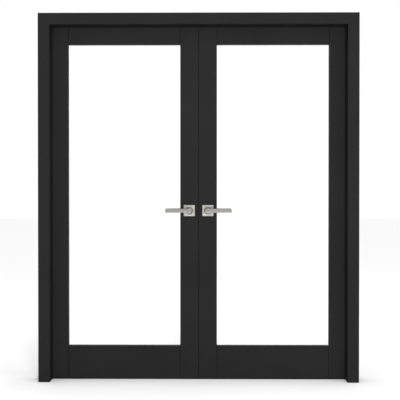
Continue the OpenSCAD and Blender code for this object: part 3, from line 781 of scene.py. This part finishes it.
def beadOutline(wall, edge, back, front, values):
    # A bead's outline (across, through), and how far each of its points stands past the opening's corner:
    # its distance from the edge less a small gap, so two beads make a mitre.
    turn = 1 if edge > wall else -1
    soft = [values["hidden"], values["arris"], values["sight"], values["hidden"]]
    outline = softOutline(rectangle(wall, edge, back, front)[::turn], soft[::turn])
    return outline, (edge - outline[:, 0]) * turn - values["mitreGap"]


def makeBeads(side, values):
    # Each of the four beads is its outline drawn twice, at two corners of the opening, and joined.
    low, high = nodeBox(side + "_beads")
    railLow, railHigh = nodeBox(side + "_top_rail")
    inX = (railLow[0], railHigh[0])
    inZ = (nodeBox(side + "_bottom_rail")[1][2], railLow[2])
    shapes = []
    for wall, edge in ((low[0], inX[0]), (high[0], inX[1])):
        outline, away = beadOutline(wall, edge, low[1], high[1], values)
        ends = [np.column_stack([outline[:, 0], outline[:, 1], spot + sign * away])
                for spot, sign in zip(inZ, (-1, 1))]
        shapes.append(skin(np.stack(ends)))
    for wall, edge in ((low[2], inZ[0]), (high[2], inZ[1])):
        outline, away = beadOutline(wall, edge, low[1], high[1], values)
        ends = [np.column_stack([spot + sign * away, outline[:, 1], outline[:, 0]])
                for spot, sign in zip(inX, (-1, 1))]
        shapes.append(skin(np.stack(ends)))
    addPiece(side + "Beads", together(shapes), side + "_beads", upright)


for side in sides:
    makeLeaf(side, leafSizes)
    makeLeafSeals(side, sealSizes)
    makeBeads(side, beadSizes)
print("leaves made")


# handles: roses, levers and their necks

roseSizes = {
    "plate": 32 * mm,  # half width
    "plateOut": 6 * mm,
    "corner": 44,  # squareness of the plate
    "rim": 1.1 * mm,  # rounding of the plate's edge and of the boss's
    "boss": 17 * mm,
    "bossOut": 14 * mm,
    "moatWide": 4.0 * mm,  # vee groove round the boss
    "moatDeep": 3.6 * mm,
    "moatBrink": (0.15 * mm, 0.3 * mm),  # how far its outer edge is eased, down and in
    "moatFloor": (0.25, 0.35),  # the bottom lies between these shares of the width
    "moatWall": 0.5,  # the boss goes straight down to this share of the depth
    "hole": 10.2 * mm,
    "holeEdge": ((0, 0.8 * mm), (0.2 * mm, 0.3 * mm), (0.8 * mm, 0)),  # its eased edge, down and out
    "faceRings": 8,
}
leverSizes = {
    "barThick": 10 * mm,
    "soft": 1.5 * mm,  # rounding of the bar's ends
    "power": 11.0,  # squareness of its section
    "neck": 10 * mm,
    "neckFoot": 0.4 * mm,
    "neckSink": 2 * mm,  # how far the neck runs into the bar
    "flare": 1.6 * mm,  # how far the neck spreads where it meets the bar
    "around": 64,
}


def makeRose(side, face, values):
    # Rings go out over the plate's edge, and in to the groove as the square gives way to a circle with the
    # fourth power of what is left. Then they go through the groove, over the boss and back down the hole.
    node = "%s_rose_%s" % (side, face)
    low, high = nodeBox(node)
    outward = outwardOf[face]
    centre = (low + high) / 2
    centre[1] = high[1] if outward < 0 else low[1]
    plate, out, corner, rim = values["plate"], values["plateOut"], values["corner"], values["rim"]
    boss, top, wide, deep = values["boss"], values["bossOut"], values["moatWide"], values["moatDeep"]
    hole, brink, foot = values["hole"], values["moatBrink"], values["moatFloor"]
    disc = 2
    q = quarter(6)
    rows = [(0, plate, corner), (out - rim, plate, corner)]
    rows += [(out - rim + rim * math.sin(a), plate - rim * (1 - math.cos(a)), corner) for a in q[1:]]
    edge, shore = plate - rim, boss + wide
    rows += [(out, edge + (shore - edge) * t, disc + (corner - disc) * (1 - t) ** 4)
             for t in np.linspace(0, 1, values["faceRings"] + 1)[1:]]
    rows += [(out - brink[0], shore - brink[1], disc), (out - deep, boss + foot[1] * wide, disc),
             (out - deep, boss + foot[0] * wide, disc), (out - values["moatWall"] * deep, boss, disc)]
    rows += [(top - rim * (1 - math.sin(a)), boss - rim * (1 - math.cos(a)), disc) for a in q]
    rows += [(top - down, hole + wider, disc) for down, wider in values["holeEdge"]]
    rows += [(0, hole, disc)]
    addPiece("%sRose%s" % (side, face.title()), squared(rows, centre, outward), node, roseNickelPaintedLight)


def makeLever(side, face, values):
    # A squared bar on a turned neck, whose radius grows by the flare times 1 - cos q as the height
    # comes within the flare times cos q of the bar.
    node = "%s_lever_%s" % (side, face)
    low, high = nodeBox(node)
    roseLow, roseHigh = nodeBox("%s_rose_%s" % (side, face))
    axis = (roseLow + roseHigh) / 2
    outward = outwardOf[face]
    tip, foot = (low[1], high[1]) if outward < 0 else (high[1], low[1])
    inner = tip - outward * values["barThick"]
    barLow, barHigh = low.copy(), high.copy()
    (barHigh if outward < 0 else barLow)[1] = inner
    bar = barOf(barLow, barHigh, "x", values["soft"], values["power"])
    neck, flare, ease = values["neck"], values["flare"], values["neckFoot"]
    length = abs(foot - inner)
    rows = [(0, neck - ease), (ease, neck)]
    rows += [(length - flare * math.cos(q), neck + flare * (1 - math.cos(q))) for q in quarter(5)]
    rows += [(length + values["neckSink"], neck + flare)]
    rows = [(foot + outward * h, r) for h, r in rows]
    shape = together([bar, turned(rows, (axis[0], 0, axis[2]), "y", values["around"])])
    addPiece("%sLever%s" % (side, face.title()), shape, node, leverNickelPaintedShade, crease=40)


for side in sides:
    for face in outwardOf:
        makeRose(side, face, roseSizes)
        makeLever(side, face, leverSizes)
print("handles made")


# hinges, pins, plates, bolt and latch

pinSizes = {
    "radius": 3 * mm,
    "hinge": 100 * mm,  # length of a hinge
    "heights": (0.338, 1.075, 1.812),  # m from the floor to the middle of each hinge
    "tip": 5 * mm,  # radius of the buttons
    "tipOut": 3 * mm,
    "tipFoot": 0.3 * mm,
    "tipRise": 0.35,  # share of the button that is straight
    "tipFlat": 0.25,  # share of its radius that is flat
    "around": 32,
}
hardwareSizes = {
    "arris": 0.25 * mm,  # hinges
    "plateArris": 0.3 * mm,  # edge plates, strike and cases
    "tongueArris": 0.5 * mm,
    "spindleArris": 0.4 * mm,
    "rod": 3 * mm,
    "rodRound": 1.2 * mm,
    "rodAround": 32,
}


def makePins(values):
    # Each pin is one turned profile with a button at both ends. Over a right angle the button's height
    # grows with the sine and its radius shrinks with the cosine.
    pin, half, foot = values["radius"], values["hinge"] / 2, values["tipFoot"]
    tip, out, rise, flat = values["tip"], values["tipOut"], values["tipRise"], values["tipFlat"]
    button = [(half + out * (rise + (1 - rise) * math.sin(q)), tip * (flat + (1 - flat) * math.cos(q)))
              for q in quarter(5)]
    upper = [(0, pin), (half, pin), (half, tip - foot), (half + foot, tip)] + button
    rows = [(-h, r) for h, r in upper[::-1]] + upper[1:]
    shapes = []
    for side in sides:
        x, y = jointOf[side + "_leaf_hinge"]["pos_m"][:2]
        shapes += [turned([(z + h, r) for h, r in rows], (x, y, 0), "z", values["around"])
                   for z in values["heights"]]
    addPiece("hingePins", together(shapes), "hinge_pins", nickel)


def makeHardware(values):
    for side in sides:
        softened(side + "FrameHinges", side + "_frame_hinges", nickelUpright, values["arris"])
        softened(side + "LeafHinges", side + "_leaf_hinges", nickelUpright, values["arris"])
        softened(side + "EdgePlate", side + "_edge_plate", nickelUpright, values["plateArris"])
    softened("headStrike", "head_strike", nickel, values["plateArris"])
    softened("latchTongue", "latch_bolt", steel, values["tongueArris"], steps=3)


def makeRod(values):
    # A turned rod whose ends round over: soft times 1 - sin q from an end, its radius is less by soft
    # times 1 - cos q.
    low, high = nodeBox("bolt_rod")
    middle = (low + high) / 2
    radius, soft = values["rod"], values["rodRound"]
    q = quarter(5)
    rows = [(low[2] + soft * (1 - math.sin(a)), radius - soft * (1 - math.cos(a))) for a in q[::-1]]
    rows += [(high[2] - soft * (1 - math.sin(a)), radius - soft * (1 - math.cos(a))) for a in q]
    shape = turned(rows, (middle[0], middle[1], 0), "z", values["rodAround"])
    addPiece("boltRod", shape, "bolt_rod", steel)


makePins(pinSizes)
makeHardware(hardwareSizes)
makeRod(hardwareSizes)
print("hardware made")


# screws and dowels stand where the nodes' own ones do; spindles and cases keep their nodes' shapes

screwSizes = {
    "around": 28,
    "rings": 9,  # from the head's edge to its middle
    "crossLong": 0.56,  # arm of the cross recess as a share of the head's radius
    "crossWide": 0.13,
    "crossDeep": 0.38,
    "crossSlope": 0.1,  # and the width of its sloping wall
    "dome": 0.05 * mm,
    "rim": (0.1 * mm, 0.3 * mm),  # the head keeps its full radius between these depths
    "rimEase": 0.15 * mm,
    "even": 0.2 * mm,  # a screw whose ends differ by less than this is a stud
    "plain": 2 * mm,  # under the head
    "tip": 3 * mm,
    "point": 0.2 * mm,
    "threadPitch": 1.4 * mm,
    "threadDepth": 0.3 * mm,
    "studEnd": 1 * mm,
    "studTaper": 0.75,  # share of the radius at both ends
    "studAround": 24,
}
dowelSizes = {
    "flutes": 18,
    "fluteSteps": 4,  # points round each flute
    "fluteDepth": 0.35 * mm,
    "end": 1.5 * mm,
}


def islands(node):
    # separate solids of a node: every point takes the lowest number that its edges can bring it
    shape = weldedCopy(node)
    shape.verts.index_update()
    points = np.array([v.co[:] for v in shape.verts])
    edges = np.array([[v.index for v in e.verts] for e in shape.edges])
    shape.free()
    label = np.arange(len(points))
    while True:
        lowest = np.minimum(label[edges[:, 0]], label[edges[:, 1]])
        fresh = label.copy()
        np.minimum.at(fresh, edges[:, 0], lowest)
        np.minimum.at(fresh, edges[:, 1], lowest)
        if (fresh == label).all():
            return [points[label == one] for one in np.unique(label)]
        label = fresh


def reading(points):
    # the number of a turned solid's long axis, its box, and the radii at its two ends
    low, high = points.min(axis=0), points.max(axis=0)
    k = int(np.argmax(high - low))
    radius = np.linalg.norm(np.delete(points - (low + high) / 2, k, axis=1), axis=1)
    ends = [radius[abs(points[:, k] - spot) < meshSizes["end"]].max() for spot in (low[k], high[k])]
    return k, low, high, ends


def crossHead(radius, values):
    # Height over a disc: a slight dome less the recess. A point is in the cross where either arm's own
    # measure, the greater of |u| - length and |v| - width or the other way round, is negative.
    r = np.linspace(1, 0, values["rings"], endpoint=False)[:, None] * radius
    q = circle(values["around"])[None]
    u, v = r * np.cos(q), r * np.sin(q)
    long, wide = values["crossLong"] * radius, values["crossWide"] * radius
    arm = np.minimum(np.maximum(abs(u) - long, abs(v) - wide), np.maximum(abs(v) - long, abs(u) - wide))
    deep = np.clip(0.5 - arm / (values["crossSlope"] * radius), 0, 1) * values["crossDeep"] * radius
    return np.stack([u, v, values["dome"] * (1 - (r / radius) ** 2) * np.ones_like(u) - deep], axis=-1)


def makeScrew(points, values):
    # Rings from the head to the point: the cross head, a short rim, a cone half as deep as the head's radius,
    # a plain length, a thread that falls and rises by its depth every half pitch, and a taper to the point.
    k, low, high, ends = reading(points)
    if abs(ends[0] - ends[1]) < values["even"]:
        return makeStud(k, low, high, max(ends), values)
    atLow = ends[0] > ends[1]
    top, point = (low[k], high[k]) if atLow else (high[k], low[k])
    head, shank = max(ends), min(ends)
    length = abs(top - point)
    pitch, depth, rim = values["threadPitch"], values["threadDepth"], values["rim"]
    face = crossHead(head - values["rimEase"], values)
    q = circle(values["around"])
    ring = np.stack([np.cos(q), np.sin(q), np.zeros(len(q))], axis=-1)
    rows = [(rim[0], head), (rim[1], head), (head / 2 + rim[0], shank)]
    for h in np.arange(head / 2 + values["plain"], length - values["tip"], pitch):
        rows += [(h, shank - depth), (h + pitch / 2, shank)]
    rows = np.array(rows + [(length - values["tip"], shank - depth), (length, values["point"])])
    body = ring[None] * rows[:, 1, None, None]
    body[..., 2] = -rows[:, 0, None]
    rings = np.concatenate([face[::-1], body])
    rings[..., 2] *= -1 if atLow else 1
    centre = (low + high) / 2
    centre[k] = top
    return skin(rings[:, :, orderFor["xyz"[k]]] + centre)


def makeStud(k, low, high, radius, values):
    # a threaded stud: rings that rise and fall by the thread's depth, with a small chamfer at both ends
    end, chamfer = values["studEnd"], radius * values["studTaper"]
    turns = np.arange(low[k] + end, high[k] - end, values["threadPitch"] / 2)
    wave = radius - values["threadDepth"] * (np.arange(len(turns)) % 2)
    rows = [(low[k], chamfer)] + list(zip(turns, wave)) + [(high[k], chamfer)]
    centre = (low + high) / 2
    centre[k] = 0
    return turned(rows, centre, "xyz"[k], values["studAround"])


def makeDowel(points, values):
    # Round the dowel the radius loses the flutes' depth times 1 - |cos|, at half the flutes' number of turns.
    k, low, high = reading(points)[:3]
    radius = (high - low)[(k + 1) % 3] / 2
    around = values["flutes"] * values["fluteSteps"]
    wave = 1 - values["fluteDepth"] / radius * (1 - abs(np.cos(values["flutes"] * circle(around) / 2)))
    end = values["end"]
    rows = [(low[k], radius - end), (low[k] + end, radius), (high[k] - end, radius), (high[k], radius - end)]
    centre = (low + high) / 2
    centre[k] = 0
    return turned(rows, centre, "xyz"[k], around, wave)


for place in ("frame",) + sides:
    node = place + "_fasteners"
    screws = together([makeScrew(points, screwSizes) for points in islands(node)])
    addPiece(place + "Screws", screws, node, steel, crease=30, weighted=False)
for side in sides:
    dowels = together([makeDowel(points, dowelSizes) for points in islands(side + "_dowels")])
    addPiece(side + "Dowels", dowels, side + "_dowels", birch)
    softened(side + "Spindle", side + "_spindle", steel, hardwareSizes["spindleArris"])
softened("boltCase", "bolt_case", steel, hardwareSizes["plateArris"])
softened("latchCase", "latch_case", steel, hardwareSizes["plateArris"])
print("screws, dowels, spindles and cases made")
